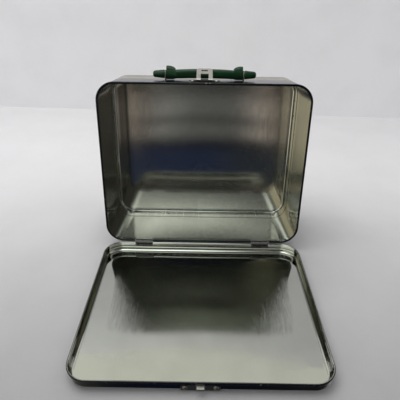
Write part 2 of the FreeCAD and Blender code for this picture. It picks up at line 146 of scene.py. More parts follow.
class Finishes(bpy.types.PropertyGroup):
    """Colours and gloss of the finishes."""

    ground: colour("Print ground", "Dark gloss print", (0.0035, 0.0045, 0.007))
    cream: colour("Print band", "Cream band of the print", (0.36, 0.31, 0.20))
    tan: colour("Print line", "Tan band and lines of the print", (0.10, 0.075, 0.045))
    tin: colour("Tin", "Bare tinplate", (0.47, 0.478, 0.437))
    nickel: colour("Nickel", "Plated hasp, plates and rivets", (0.50, 0.485, 0.44))
    wire: colour("Wire", "Loops and pins", (0.26, 0.26, 0.24))
    plastic: colour("Plastic", "Moulded grip", (0.005, 0.034, 0.011))
    tin_roughness: share("Tin roughness", "Blur of what the tin mirrors", 0.10)
    edge_roughness: share("Edge roughness", "The same beside the lid's skirt", 0.05)
    lid_roughness: share("Lid roughness", "The same in the lid's panel", 0.11)
    back_roughness: share("Back roughness", "The same in the back panel", 0.07)
    print_roughness: share("Print roughness", "Blur of what the print mirrors", 0.16)


class StageSettings(bpy.types.PropertyGroup):
    """Floor, wall, light and camera."""

    pale: colour("Floor", "Pale floor", (0.725, 0.716, 0.721))
    wall: colour("Wall", "Pale wall", (0.88, 0.88, 0.89))
    wall_distance: length("Wall distance", "Wall behind the box", 0.485)
    wall_slant: share("Wall slant", "How much nearer the wall comes to the right", 0.045)
    lamp_power: FloatProperty(name="Lamp power", description="Soft lamp at the upper left", default=14,
                              unit="POWER")
    camera_place: FloatVectorProperty(name="Camera", description="Camera's place", unit="LENGTH",
                                      default=(-0.0016, -0.3044, 0.2701), precision=5)
    pitch: turn("Pitch", "Camera's tilt down", 31.393)
    yaw: turn("Yaw", "Camera's turn to the left", 0.182)
    roll: turn("Roll", "Camera's turn about its own axis", 0.767)
    focal_pixels: share("Focal length", "In pixels of a frame 400 wide", 395.23)


def linked(name, data):
    """A new object in the scene."""
    made = bpy.data.objects.new(name, data)
    bpy.context.scene.collection.objects.link(made)
    return made


class Field:
    """A socket whose value changes over a surface: arithmetic on it adds Math nodes."""

    def __init__(self, nodes, socket):
        self.nodes = nodes
        self.socket = socket

    def __add__(self, other):
        return self.nodes.maths("ADD", self, other)

    __radd__ = __add__

    def __sub__(self, other):
        return self.nodes.maths("SUBTRACT", self, other)

    def __rsub__(self, other):
        return self.nodes.maths("SUBTRACT", other, self)

    def __mul__(self, other):
        return self.nodes.maths("MULTIPLY", self, other)

    __rmul__ = __mul__

    def __pow__(self, other):
        return self.nodes.maths("POWER", self, other)

    def __rpow__(self, other):
        return self.nodes.maths("POWER", other, self)

    def __abs__(self):
        return self.nodes.maths("ABSOLUTE", self)

    def rising(self, low, high):
        """0 below low, 1 above high, smooth in between."""
        inputs = {"Value": self, "From Min": low, "From Max": high}
        return self.nodes.add("ShaderNodeMapRange", {"interpolation_type": "SMOOTHSTEP"}, inputs)


class Nodes:
    """A node tree being written."""

    def __init__(self, tree):
        self.tree = tree
        tree.nodes.clear()

    def add(self, kind, settings=None, inputs=None, output=0):
        """Add a node, set its settings, then give its sockets values or links; returns one output."""
        made = self.tree.nodes.new(kind)
        for key, value in (settings or {}).items():
            if key == "stops":
                self.set_stops(made.color_ramp, value)
            else:
                setattr(made, key, value)
        for key, value in (inputs or {}).items():
            if isinstance(value, Field):
                self.tree.links.new(value.socket, made.inputs[key])
            else:
                made.inputs[key].default_value = value
        return Field(self, made.outputs[output]) if made.outputs else made

    def set_stops(self, ramp, stops):
        """Give a ramp its (place, colour) stops."""
        for place, tint in stops[2:]:
            ramp.elements.new(place)
        for element, (place, tint) in zip(ramp.elements, stops):
            element.position = place
            element.color = (*tint, 1)

    def maths(self, operation, first, second=0.0):
        return self.add("ShaderNodeMath", {"operation": operation}, {0: first, 1: second})

    def mix(self, factor, first, second):
        """Blend of two colours."""
        inputs = {0: factor, 6: opaque(first), 7: opaque(second)}
        return self.add("ShaderNodeMix", {"data_type": "RGBA"}, inputs, output=2)

    def blend(self, factor, first, second):
        """Blend of two values."""
        return first + factor * (second - first)

    def coordinates(self, kind="Object"):
        return self.add("ShaderNodeTexCoord", output=kind)

    def placed(self, vector, scale, rotation=(0, 0, 0)):
        """A vector scaled, then turned."""
        inputs = {"Vector": vector, "Rotation": rotation, "Scale": scale}
        return self.add("ShaderNodeMapping", None, inputs)

    def noise(self, vector, scale, detail):
        inputs = {"Vector": vector, "Scale": scale, "Detail": detail, "Roughness": 0.55}
        return self.add("ShaderNodeTexNoise", None, inputs)

    def axis(self, vector, name):
        """One part of a vector."""
        return self.add("ShaderNodeSeparateXYZ", None, {0: vector}, output=name)

    def scaled(self, tint, factor):
        """A colour times a value."""
        return self.add("ShaderNodeVectorMath", {"operation": "SCALE"}, {0: tint, "Scale": factor})

    def ramp(self, value, stops):
        """Grey level by straight runs between (value, level) stops, for values from 0 to 1."""
        greys = [(place, (level,) * 3) for place, level in stops]
        return self.add("ShaderNodeValToRGB", {"stops": greys}, {0: value})

    def attribute(self, name):
        """A value stored on the mesh."""
        return self.add("ShaderNodeAttribute", {"attribute_name": name}, output="Fac")


def opaque(tint):
    """A colour as a socket wants it."""
    return tint if isinstance(tint, Field) else (*tint, 1)


def times(tint, factor):
    """A plain colour times a number."""
    return tuple(part * factor for part in tint)


class Finish(Nodes):
    """A surface material: its nodes and its one shader."""

    def __init__(self, name):
        self.material = bpy.data.materials.new(name)
        self.material.use_nodes = True
        super().__init__(self.material.node_tree)

    def surface(self, base, roughness, metallic=0.0, coat=0.0, height=None, bump=0.0, constants=None):
        """End the tree in a shader; height is a surface relief in metres."""
        inputs = {"Base Color": opaque(base), "Roughness": roughness, "Metallic": metallic,
                  "Coat Weight": coat, **(constants or {})}
        if height is not None:
            relief = {"Strength": bump, "Distance": 1.0, "Height": height}
            inputs["Normal"] = self.add("ShaderNodeBump", None, relief)
        shader = self.add("ShaderNodeBsdfPrincipled", None, inputs)
        self.add("ShaderNodeOutputMaterial", None, {"Surface": shader})
        return self.material


def tin_look(finish, sheet_place, tint, roughness, grain_height):
    """Bare tinplate: colour, gloss and relief from rolling grain, clouds, scratches and dull pits."""
    grain = finish.noise(finish.placed(sheet_place, (40, 5000, 1)), 1.0, 1.0)
    clouds = finish.noise(sheet_place, 28.0, 4.0)
    scratch_place = finish.placed(sheet_place, (25, 900, 1), rotation=(0, 0, 0.5))
    scratches = finish.noise(scratch_place, 1.0, 1.0).rising(0.74, 0.80)
    scratch_depth = 0.0000006
    base = finish.mix(clouds.rising(0.35, 0.75) * 0.5 + grain * 0.22, tint, times(tint, 0.82))
    pits = finish.noise(sheet_place, 2500.0, 1.0).rising(0.62, 0.70)
    gloss = roughness + (clouds - 0.5) * 0.05 + scratches * 0.05 + pits * 0.2
    return base, gloss, grain * grain_height + scratches * scratch_depth


def print_look(finish, edge, sheet_place, looks, bands):
    """Gloss print: dark mottled ground, with (start, end, colour) bands by distance from the edge."""
    mottle = finish.noise(sheet_place, 60.0, 3.0)
    soft = 0.0002
    base = looks.ground[:]
    for start, end, tint in bands:
        inside = edge.rising(start, start + soft) * (1 - edge.rising(end, end + soft))
        base = finish.mix(inside, base, tint)
    base = finish.mix(mottle.rising(0.45, 0.85) * 0.22, base, times(looks.ground, 1.6))
    return base, looks.print_roughness + (mottle - 0.5) * 0.08


def sheet_finish(name, bands, looks, grain_height, edge_roughness, panel_roughness):
    """Tinplate, printed where the mesh says so, with painted shade in the stakes' dents and chips along the rim.
    """
    panel_start = 0.014
    edge_grain = 0.000001
    chipped_to = 0.0018
    print_index = 1.3
    finish = Finish(name)
    sheet_place = finish.coordinates("UV")
    printed = finish.attribute("printed")
    edge = finish.attribute("edge")
    roughness = finish.blend(edge.rising(panel_start, 0.045), edge_roughness, panel_roughness)
    grain_here = finish.blend(edge.rising(panel_start, 0.022), edge_grain, grain_height)
    tin, tin_gloss, relief = tin_look(finish, sheet_place, looks.tin[:], roughness, grain_here)
    ink, ink_gloss = print_look(finish, edge, sheet_place, looks, bands)
    # Painted shade: the tin is darkened and dulled in the stakes' dents
    dent_shade = finish.attribute("stake").rising(0.01, 0.15)
    tin = finish.mix(dent_shade * 0.9, tin, (0.03, 0.027, 0.02))
    tin_gloss = tin_gloss + dent_shade * 0.15
    chips = finish.noise(sheet_place, 420.0, 3.0).rising(0.66, 0.70)
    worn = chips * (1 - edge.rising(chipped_to, chipped_to + 0.0012))
    covered = printed * (1 - worn)
    base = finish.mix(covered, tin, ink)
    gloss = finish.blend(covered, tin_gloss, ink_gloss)
    return finish.surface(base, gloss, 1 - covered, 0.0, relief * (1 - covered), 1.0,
                          {"IOR": print_index})


def squared_from_axis(finish, place, centre):
    """Squared distance of a place from the line along X through a centre."""
    offset_y = finish.axis(place, "Y") - float(centre[1])
    offset_z = finish.axis(place, "Z") - float(centre[2])
    return offset_y * offset_y + offset_z * offset_z


def nickel_finish(looks):
    """Plated stampings: soft polish and faint stains, painted shade round the hasp's pin and a painted dark
    reflection on the catch.
    """
    finish = Finish("nickel_plate")
    place = finish.coordinates()
    stains = finish.noise(place, 260.0, 4.0)
    brushed = finish.noise(finish.placed(place, (400, 4000, 4000)), 1.0, 2.0)
    base = finish.mix(stains.rising(0.48, 0.75), looks.nickel[:], times(looks.nickel, 0.66))
    across = finish.axis(place, "X")
    # Painted shade: round the middle of the hasp's pin the plate is darkened and dulled, where the hasp shades it
    pivot_shade_radius = 0.0016
    soft = 0.0004
    squared = squared_from_axis(finish, place, hasp_place)
    near_pivot = 1 - squared.rising(pivot_shade_radius ** 2, (pivot_shade_radius + soft) ** 2)
    pivot_shade = near_pivot * (1 - abs(across).rising(0.0035, 0.0037)) * 0.9
    base = finish.mix(pivot_shade, base, (0.02, 0.019, 0.016))
    # Of the plated pieces only the catch and its rivets lie so far forward
    on_lid = 1 - finish.axis(place, "Y").rising(-0.12, -0.11)
    # Painted dark reflection: the catch plate beside its hook is darkened
    catch_dark_reflection = on_lid * abs(across).rising(0.0032, 0.0036) * 0.85
    base = finish.mix(catch_dark_reflection, base, (0.10, 0.095, 0.085))
    gloss = 0.10 + stains * 0.12 + brushed * 0.05 + pivot_shade * 0.2 + on_lid * 0.25
    return finish.surface(base, gloss, 1 - pivot_shade, 0.0, brushed * 0.000002, 1.0)


def wire_finish(looks):
    """Drawn steel wire: fine lines and a few dark specks."""
    finish = Finish("steel_wire")
    place = finish.coordinates()
    lines = finish.noise(finish.placed(place, (5000, 600, 600)), 1.0, 2.0)
    specks = finish.noise(place, 900.0, 2.0).rising(0.62, 0.72)
    base = finish.mix(specks, looks.wire[:], (0.16, 0.14, 0.11))
    gloss = 0.14 + lines * 0.10 + specks * 0.25
    return finish.surface(base, gloss, 1.0, 0.0, lines * 0.000002, 1.0)


def hinge_finish(looks):
    """Dark paint, rubbed through to bright steel on the knuckles."""
    finish = Finish("painted_hinge")
    place = finish.coordinates()
    from_axis = squared_from_axis(finish, place, hinge_place) ** 0.5
    knuckle = 1 - from_axis.rising(0.00122, 0.0016)
    patches = finish.noise(place, 900.0, 4.0)
    bright = knuckle * patches.rising(0.30, 0.60) * 0.85
    base = finish.mix(bright, looks.ground[:], looks.wire[:])
    gloss = 0.22 + patches * 0.14 + bright * 0.15
    return finish.surface(base, gloss, bright, (1 - bright) * 0.4, patches * 0.000004, 1.0)


def plastic_finish(looks):
    """Moulded grip: slightly uneven colour, a fine skin and two raised parting lines."""
    finish = Finish("green_plastic")
    place = finish.coordinates()
    streaks = finish.noise(finish.placed(place, (60, 220, 220)), 1.0, 4.0)
    skin = finish.noise(place, 2600.0, 2.0)
    round_share = finish.axis(finish.coordinates("UV"), "Y")
    from_line = abs(abs(round_share - 0.5) - 0.25)
    line = 1 - from_line.rising(0.004, 0.010)
    light = tuple(part * 1.7 + 0.004 for part in looks.plastic)
    base = finish.mix(streaks.rising(0.45, 0.8) * 0.6, looks.plastic[:], light)
    relief = skin * 0.000010 + line * 0.00006 + streaks * 0.00002
    gloss = 0.16 + skin * 0.10 + streaks * 0.06
    plastic_index = 1.36
    return finish.surface(base, gloss, 0.0, 0.0, relief, 1.0, {"IOR": plastic_index})


def backing_finish(looks):
    """Plain tinplate of the small plates inside, a little duller than the walls."""
    finish = Finish("bare_tin")
    grain = 0.000001
    roughness = looks.tin_roughness + 0.06
    base, gloss, relief = tin_look(finish, finish.coordinates(), looks.tin[:], roughness, grain)
    return finish.surface(base, gloss, 1.0, 0.0, relief, 1.0)


def turned(points, angle):
    """Points turned about X by an angle, through the formula of a plane rotation in Y and Z."""
    x, y, z = np.moveaxis(points, -1, 0)
    sine, cosine = math.sin(angle), math.cos(angle)
    return np.stack([x, y * cosine - z * sine, y * sine + z * cosine], -1)


def rim_outline(sizes, lengths):
    """Rounded rectangle by length from the middle of the bottom.

    Each point is a core point, which runs along a smaller rectangle, plus the corner radius along a
    direction that only turns while the core point waits in a corner. Both are straight-line
    interpolations over the ends of the nine stretches.
    """
    radius = sizes.corner
    half = sizes.width / 2 - radius
    low, high = radius, sizes.height - radius
    quarter = radius * math.pi / 2
    side = high - low
    ends = np.cumsum([0, half, quarter, side, quarter, 2 * half, quarter, side, quarter, half])
    core_x = np.interp(lengths, ends, half * np.array([0, 1, 1, 1, 1, -1, -1, -1, -1, 0]))
    core_z = np.interp(lengths, ends, [low, low, low, high, high, high, high, low, low, low])
    facing = np.interp(lengths, ends, np.pi / 2 * np.array([-1, -1, 0, 0, 1, 1, 2, 2, 3, 3]))
    return np.stack([core_x, core_z], -1), np.stack([np.cos(facing), np.sin(facing)], -1)


def outline_length(sizes):
    """Length of the outline: four sides without their corners, and a full circle of the corner radius."""
    return 2 * (sizes.width + sizes.height) - 8 * sizes.corner + 2 * math.pi * sizes.corner


def stake_lengths(sizes):
    """Where the stakes lie: either side of the walls' middles, which are quarters of the outline."""
    whole = outline_length(sizes)
    middles = whole * np.arange(4) / 4
    half = sizes.stake_spacing / 2
    return (middles[:, None] + np.array([-half, half])) % whole


def across_stake(sizes):
    """Close steps from one side of a stake's dent to the other, by distance from its middle."""
    return np.linspace(-1, 1, 15) * sizes.stake_radius * 1.1


def stake_middle(sizes):
    """Depth at which the stakes lie."""
    return sizes.rim_gap / 2 + sizes.body_depth - sizes.stake_back


def round_lengths(sizes):
    """Lengths at which a section stands: even steps, close ones at stakes, pairs at the notches' edges."""
    even_step = 0.0014
    hair = 0.00001
    whole = outline_length(sizes)
    both = np.array([-1, 1])
    even = np.arange(0, whole, even_step)
    stakes = (stake_lengths(sizes)[..., None] + across_stake(sizes)).ravel()
    hinges = both * sizes.hinge_spacing / 2
    edges = both * sizes.notch_width / 2
    notches = (hinges[:, None, None] + edges[:, None] + both * hair).ravel()
    lengths = np.concatenate([even, stakes, notches]) % whole
    return np.unique(np.round(lengths, 6))


def swung(vector, angles):
    """A plane vector turned by each angle: itself times the cosine plus its normal times the sine."""
    return vector * np.cos(angles) + np.array([-vector[1], vector[0]]) * np.sin(angles)


def sheet_line(points, bends, marks=()):
    """Middle line of bent sheet through (depth, inset) points, with its unit normals.

    Straight runs are joined by arcs of the bend radii. A run has points a few millimetres apart, and
    one at each marked depth that it passes.
    """
    run_step = 0.004
    arc_steps = 12
    points = np.asarray(points, float)
    directions = np.diff(points, axis=0)
    directions /= np.linalg.norm(directions, axis=1, keepdims=True)
    normals = np.stack([-directions[:, 1], directions[:, 0]], -1)
    places, sides = [], []
    start = points[0]
    for index, direction in enumerate(directions):
        last = index == len(directions) - 1
        swing = 0.0
        if not last:
            following = directions[index + 1]
            swing = math.atan2(normals[index] @ following, direction @ following)
        back_off = 0.0 if last else bends[index] * math.tan(abs(swing) / 2)
        end = points[index + 1] - direction * back_off
        steps = np.linspace(0, 1, 2 + int(np.linalg.norm(end - start) / run_step))
        if abs(end[0] - start[0]) > 1e-9:
            marked = (np.asarray(marks) - start[0]) / (end[0] - start[0])
            steps = np.unique(np.concatenate([steps, marked[(marked > 0) & (marked < 1)]]))
        places.append(start + steps[:, None] * (end - start))
        sides.append(np.repeat(normals[index:index + 1], len(steps), 0))
        if not last:
            angles = np.linspace(0, swing, arc_steps)[1:-1, None]
            centre = end + normals[index] * bends[index] * np.sign(swing)
            places.append(centre + swung(end - centre, angles))
            sides.append(swung(normals[index], angles))
            start = points[index + 1] + directions[index + 1] * back_off
    return np.concatenate(places), np.concatenate(sides)


def rim_points(sizes, hem, thickness, facing):
    """Middle line of a rolled rim, from the hem's cut edge to the wall; facing is 1 for the body."""
    front = sizes.rim_gap / 2
    half = sizes.sheet / 2
    inner = thickness - half
    step = front + sizes.rim_length
    wall = sizes.rim_proud + half
    line = [(front + hem, inner), (front + half, inner), (front + half, half), (step, half),
            (step + sizes.rim_step, wall)]
    return [(facing * depth, inset) for depth, inset in line]


def rim_bend(sizes, thickness):
    """Bend radius of a rim's two front bends: a little under half of what its thickness leaves."""
    return (thickness - sizes.sheet) / 2 * 0.98


def rim_walk(sizes, line, hem, bend, facing):
    """Distance of a rim's points from its cut edge, with those of the hem's end and the outer bend."""
    hair = 0.00002
    half = sizes.sheet / 2
    walked = np.concatenate([[0], np.cumsum(np.linalg.norm(np.diff(line, axis=0), axis=1))])
    in_bend = np.array([facing * (sizes.rim_gap / 2 + half), half * 4])
    outer_bend = walked[np.argmin(np.abs(line - in_bend).sum(1))]
    return walked, hem - half - bend + hair, outer_bend


def there_and_back(values):
    """Values along one face of the sheet, then back along the other."""
    return np.concatenate([values, values[::-1]])


def carried_round(sizes, lengths, depth, inset, reach):
    """A section carried round the outline: points (x, depth, z).

    The point at an inset is the core point plus (corner radius - inset) along the facing direction.
    A reach above 0 draws it towards the panel's middle line, which a reach of 1 meets.
    """
    core, facing = rim_outline(sizes, lengths)
    ring = core[:, None] + (sizes.corner - inset)[..., None] * facing[:, None]
    spine = (sizes.width - sizes.height) / 2
    middle_x = np.clip(ring[..., 0], -spine, spine)
    middle = np.stack(np.broadcast_arrays(middle_x, sizes.height / 2), -1)
    flat = ring + reach[..., None] * (middle - ring)
    return np.stack(np.broadcast_arrays(flat[..., 0], depth, flat[..., 1]), -1)


def stake_dents(sizes, lengths, depth):
    """Inward dent at each stake: depth times (1 - (distance / radius)^2)^2, added over the stakes."""
    along = np.abs(lengths[:, None] - stake_lengths(sizes).ravel())
    along = np.minimum(along, outline_length(sizes) - along)
    away = along[:, None] ** 2 + (depth - stake_middle(sizes))[..., None] ** 2
    return sizes.stake_depth * (np.clip(1 - away / sizes.stake_radius ** 2, 0, 1) ** 2).sum(-1)


def in_notch(sizes, lengths):
    """Which places along the outline lie in the rim's cut-outs for the hinges."""
    whole = outline_length(sizes)
    signed = (lengths + whole / 2) % whole - whole / 2
    return np.abs(np.abs(signed) - sizes.hinge_spacing / 2) < sizes.notch_width / 2


def bow(sizes, points, amount):
    """Bulge of a panel: amount times ((1 - u^2) (1 - v^2))^1.5 over its middle, nothing at its edge."""
    across = (points[..., 0] / (sizes.width / 2 - sizes.pan_edge)) ** 2
    along = ((points[..., 2] - sizes.height / 2) / (sizes.height / 2 - sizes.pan_edge)) ** 2
    return amount * (np.clip(1 - across, 0, 1) * np.clip(1 - along, 0, 1)) ** 1.5


def grid_faces(rows, columns, close_columns):
    """Quads of a grid whose rows close on themselves, and its columns too if asked."""
    row = np.arange(rows)[:, None]
    column = np.arange(columns if close_columns else columns - 1)[None]
    next_row = (row + 1) % rows
    next_column = (column + 1) % columns
    corners = [row * columns + column, next_row * columns + column,
               next_row * columns + next_column, row * columns + next_column]
    return np.stack(corners, -1).reshape(-1, 4)


def corner_values(values, close_columns):
    """Values at the same corners, from a grid with one row more, so that a map has no jump."""
    if close_columns:
        values = np.concatenate([values, values[:, :1]], 1)
    parts = [values[:-1, :-1], values[1:, :-1], values[1:, 1:], values[:-1, 1:]]
    return np.stack(parts, -2).reshape(-1, 4, values.shape[-1])


def grid_piece(name, points, map_places, attributes, close_columns, sharp_degrees=35):
    """Object from a grid of points, with its map, attributes and merged seams.

    Its quads face outwards: the products of their area vectors and their middles add up to more than 0.
    """
    merge_distance = 1e-7
    thin_edge = 1e-8
    rows, columns = points.shape[:2]
    flat = points.reshape(-1, 3)
    faces = grid_faces(rows, columns, close_columns)
    places = corner_values(map_places, close_columns)
    a, b, c, d = (flat[faces[:, index]] - flat.mean(0) for index in range(4))
    if np.einsum("ij,ij", np.cross(c - a, d - b), a + b + c + d) < 0:
        faces = faces[:, ::-1]
        places = places[:, ::-1]
    mesh = bpy.data.meshes.new(name)
    mesh.from_pydata(flat.tolist(), [], faces.tolist())
    mesh.uv_layers.new(name="sheet").data.foreach_set("uv", places.astype(np.float32).ravel())
    for key, values in attributes.items():
        spread = np.broadcast_to(values, (rows, columns)).astype(np.float32)
        mesh.attributes.new(key, "FLOAT", "POINT").data.foreach_set("value", spread.ravel())
    built = bmesh.new()
    built.from_mesh(mesh)
    bmesh.ops.remove_doubles(built, verts=built.verts, dist=merge_distance)
    bmesh.ops.dissolve_degenerate(built, edges=built.edges, dist=thin_edge)
    built.to_mesh(mesh)
    built.free()
    mesh.polygons.foreach_set("use_smooth", np.ones(len(mesh.polygons), bool))
    mesh.set_sharp_from_angle(angle=math.radians(sharp_degrees))
    return linked(name, mesh)


def dress(piece, body, nodes, material):
    """Give a new piece its material and the body it rides on, and hide the solids that it stands for."""
    piece.data.materials.append(material)
    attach(piece, body)
    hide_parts(*nodes)


def placed_open(points, angle):
    """Points of the upright, shut box, turned about the hinge and lifted to its place."""
    return turned(points, angle) + hinge_place


def build_side_band(sizes, looks):
    """The four walls: rolled rim with a hem, cut away at the hinges, and a lip turned in at the back."""
    half = sizes.sheet / 2
    wall = sizes.rim_proud + half
    rear = sizes.rim_gap / 2 + sizes.body_depth - half
    bend = rim_bend(sizes, sizes.rim_thickness)
    points = rim_points(sizes, sizes.body_hem, sizes.rim_thickness, 1)
    points += [(rear, wall), (rear, wall + sizes.back_lip)]
    bends = [bend, bend, sizes.step_bend, sizes.step_bend, sizes.lip_bend]
    line, normal = sheet_line(points, bends, stake_middle(sizes) + across_stake(sizes))
    section = np.concatenate([line - normal * half, (line + normal * half)[::-1]])
    outer = np.arange(len(section)) < len(line)
    walked, hem_end, outer_bend = rim_walk(sizes, line, sizes.body_hem, bend, 1)
    both_walked = there_and_back(walked)
    line_depth, line_inset = there_and_back(line).T
    printed = outer & (both_walked > hem_end)
    lengths = round_lengths(sizes)
    cut_part = (line_depth < sizes.notch_depth) | (both_walked < outer_bend)
    cut = in_notch(sizes, lengths)[:, None] & cut_part
    depth = np.where(cut, sizes.notch_depth, section[:, 0])
    inset = np.where(cut, wall + np.where(outer, -half, half), section[:, 1])
    dents = stake_dents(sizes, lengths, depth) * (line_inset < wall + half)
    points = carried_round(sizes, lengths, depth, inset + dents, np.zeros(1))
    front_edge = np.maximum(section[:, 0], 0)
    attributes = {"printed": printed, "edge": front_edge, "stake": dents / sizes.stake_depth}
    longer = np.append(lengths, outline_length(sizes))[:, None]
    map_places = np.stack(np.broadcast_arrays(longer, both_walked), -1)
    piece = grid_piece("side_band_sheet", placed_open(points, -body_lean), map_places, attributes, True)
    # The two cream bands of the walls are dimmed copies of the print's cream: painted shade near the handle,
    # deepest in the band behind its bar
    tan_start, tan_end = 0.0365, 0.0415
    cream_start, painted_shade_start, cream_end = 0.0425, 0.055, 0.0748
    bands = [(tan_start, tan_end, looks.tan[:]), (cream_start, painted_shade_start, times(looks.cream, 0.55)),
             (painted_shade_start, cream_end, times(looks.cream, 0.25))]
    grain, roughness = 0.0000006, looks.tin_roughness
    finish = sheet_finish("band_print", bands, looks, grain, roughness, roughness)
    dress(piece, "box", ["side_band"], finish)


def pan_piece(name, points, angle, attributes):
    """A pan's object; its map is height and width, with the first row again at the end."""
    map_places = np.concatenate([points, points[:1]])[..., [2, 0]]
    return grid_piece(name, placed_open(points, angle), map_places, attributes, False)


def pan_section(sizes, line, normal):
    """Places (depth, inset, reach) on both faces of a pan, from the middle over the cut edge to the middle.

    Past the line's end they stay at its last point while the reach rises to 1.
    """
    rows = 36
    middle = np.linspace(0, 1, rows)[1:]
    reach = np.concatenate([np.zeros(len(line)), middle])
    line = np.concatenate([line, np.repeat(line[-1:], len(middle), 0)])
    normal = np.concatenate([normal, np.repeat(normal[-1:], len(middle), 0)])
    half = sizes.sheet / 2
    first = np.column_stack([line - normal * half, reach])
    second = np.column_stack([line + normal * half, reach])
    return np.concatenate([first[::-1], second]), len(reach)


def panel_edge(sizes, reach):
    """Distance of a panel's place from the outline: even steps from the panel's edge to the middle line."""
    return sizes.pan_edge + reach * (sizes.height / 2 - sizes.pan_edge)


def build_back_panel(sizes, looks):
    """Shallow pan inside the back lip, its flange staked to the walls."""
    half = sizes.sheet / 2
    rear = sizes.rim_gap / 2 + sizes.body_depth - sizes.sheet - half
    wall = sizes.rim_proud + sizes.sheet + sizes.clearance + half
    points = [(rear - sizes.flange, wall), (rear, wall), (rear, sizes.pan_edge)]
    line, normal = sheet_line(points, [sizes.pan_bend], stake_middle(sizes) + across_stake(sizes))
    section, count = pan_section(sizes, line, normal)
    depth, inset, reach = section.T
    lengths = round_lengths(sizes)
    dents = stake_dents(sizes, lengths, depth) * (inset < wall + sizes.sheet)
    inset = inset + dents
    points = carried_round(sizes, lengths, depth, inset, reach)
    points[..., 1] -= bow(sizes, points, sizes.back_bow) * (reach > 0)
    printed = np.arange(len(depth)) < count
    edge = np.where(reach > 0, panel_edge(sizes, reach), inset)
    attributes = {"printed": printed, "edge": edge, "stake": dents / sizes.stake_depth}
    piece = pan_piece("back_panel_sheet", points, -body_lean, attributes)
    border, line_start, line_end, field_start = 0.009, 0.012, 0.0128, 0.0145
    bands = [(0, border, looks.tan[:]), (line_start, line_end, looks.cream[:]),
             (field_start, sizes.height, looks.cream[:])]
    grain = 0.00001
    finish = sheet_finish("back_print", bands, looks, grain, looks.tin_roughness, looks.back_roughness)
    dress(piece, "box", ["back_panel"], finish)


def build_lid(sizes, looks):
    """The lid: flat-hemmed rim cut away at the hinges, low skirt, and a panel bulging a little inwards."""
    half = sizes.sheet / 2
    wall = sizes.rim_proud + half
    face = -sizes.rim_gap / 2 - sizes.lid_depth + half
    bend = rim_bend(sizes, sizes.lid_rim)
    points = rim_points(sizes, sizes.lid_hem, sizes.lid_rim, -1) + [(face, wall), (face, sizes.pan_edge)]
    line, normal = sheet_line(points, [bend, bend, sizes.step_bend, sizes.step_bend, sizes.lid_bend])
    section, count = pan_section(sizes, line, normal)
    depth, inset, reach = section.T
    outer = np.arange(len(depth)) >= count
    walked, hem_end, outer_bend = rim_walk(sizes, line, sizes.lid_hem, bend, -1)
    walked = np.append(walked, np.full(count - len(walked), walked[-1]))
    both_walked = there_and_back(walked[::-1])
    lengths = round_lengths(sizes)
    cut_part = (depth > -sizes.notch_depth) | (both_walked < outer_bend)
    cut = in_notch(sizes, lengths)[:, None] & cut_part
    cut_depth = np.where(cut, -sizes.notch_depth, depth)
    cut_inset = np.where(cut, wall + np.where(outer, -half, half), inset)
    points = carried_round(sizes, lengths, cut_depth, cut_inset, reach)
    points[..., 1] += bow(sizes, points, sizes.lid_bow) * (reach > 0)
    # The hem and the rim's first bend stay bare
    printed = outer & (both_walked > hem_end + bend * math.pi / 2)
    skirt_edge = np.maximum(inset, -depth - sizes.rim_gap / 2)
    edge = np.where(reach > 0, panel_edge(sizes, reach), skirt_edge)
    piece = pan_piece("lid_sheet", points, lid_turn, {"printed": printed, "edge": edge})
    line_start, line_end, field_start = 0.0125, 0.0133, 0.015
    bands = [(line_start, line_end, looks.tan[:]), (field_start, sizes.height, looks.cream[:])]
    grain = 0.00004
    finish = sheet_finish("lid_print", bands, looks, grain, looks.edge_roughness, looks.lid_roughness)
    dress(piece, "lid", ["lid_pan"], finish)


def rounded_end(radius, steps):
    """Places along and in from an end for a quarter-round edge."""
    angles = np.linspace(0, math.pi / 2, steps)
    return radius * np.sin(angles), radius * (1 - np.cos(angles))


def grip_stations(grip):
    """Half of the handle from its middle outwards: x, top, bottom, half depth, roundness and taper.

    The bar's arch is a parabola, the guard rises by a quarter ellipse and its foot sinks by a smooth step.
    """
    bar_lap = 0.003
    sink_share = 0.45
    foot_swell = 0.6
    bar_power = 3.0
    guard_power = 2.3
    guard_outer = grip.loop_spacing / 2 - grip.loop_room
    guard_inner = guard_outer - grip.guard_length
    bar_x = np.linspace(0, guard_inner, 24)
    guard_x = np.linspace(guard_inner, guard_outer - grip.edge_round, 40)
    x = np.concatenate([bar_x, guard_x[1:]])
    arch = 1 - np.clip(x / (guard_inner + bar_lap), 0, 1) ** 2
    top = grip.top_end + (grip.top_middle - grip.top_end) * arch
    bottom = grip.bottom_end + (grip.bottom_middle - grip.bottom_end) * arch
    along = np.clip((x - guard_inner) / (grip.guard_length - grip.guard_crest), 0, 1)
    rise = np.sqrt(1 - (1 - along) ** 2)
    top = top + (grip.guard_height - top) * rise
    sink = np.clip(along / sink_share, 0, 1)
    sink = sink * sink * (3 - 2 * sink)
    bottom = bottom + (-grip.foot - bottom) * sink
    depth = grip.bar_depth / 2 + (grip.foot - grip.bar_depth / 2) * sink * foot_swell
    power = bar_power + (guard_power - bar_power) * sink
    taper = grip.guard_taper * rise
    return np.stack([x, top, bottom, depth, power, taper], -1), guard_outer


